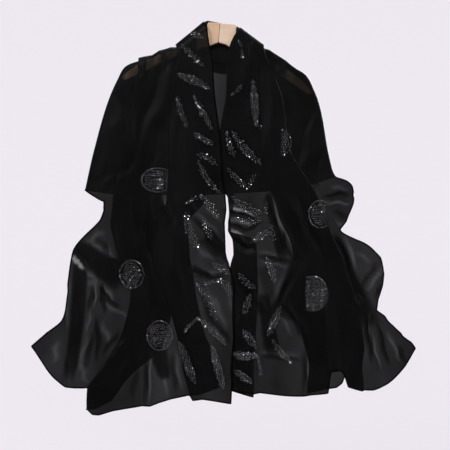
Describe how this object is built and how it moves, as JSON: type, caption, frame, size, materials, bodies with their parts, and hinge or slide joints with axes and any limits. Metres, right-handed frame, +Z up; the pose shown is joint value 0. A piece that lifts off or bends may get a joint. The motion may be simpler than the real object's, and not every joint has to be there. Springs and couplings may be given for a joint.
{
  "type": "chiffon hijab on a wooden hanger",
  "caption": "Black chiffon hijab shawl with rhinestone trim, hung open over a flat wooden hanger with two pleated fronts and a folded collar",
  "frame": {"origin": "middle of the top of the hanger's head, where the hanger is held", "axes": "+Z up, +X to the right seen from the front, the fronts face -Y"},
  "size_m": [0.844, 0.0568, 0.8628],
  "materials": {
    "chiffon": "sheer black chiffon with a soft sheen, dark where it lies double",
    "wood_left": "plain sanded beech, slightly darker half",
    "wood_right": "plain sanded beech, slightly lighter half",
    "rhinestone": "small faceted clear stones set in the cloth"
  },
  "bodies": {
    "root": {"hanger_left": "wood_left", "hanger_right": "wood_right", "back": "chiffon", "collar": "chiffon", "front_left": "chiffon", "front_right": "chiffon"}
  },
  "joints": []
}
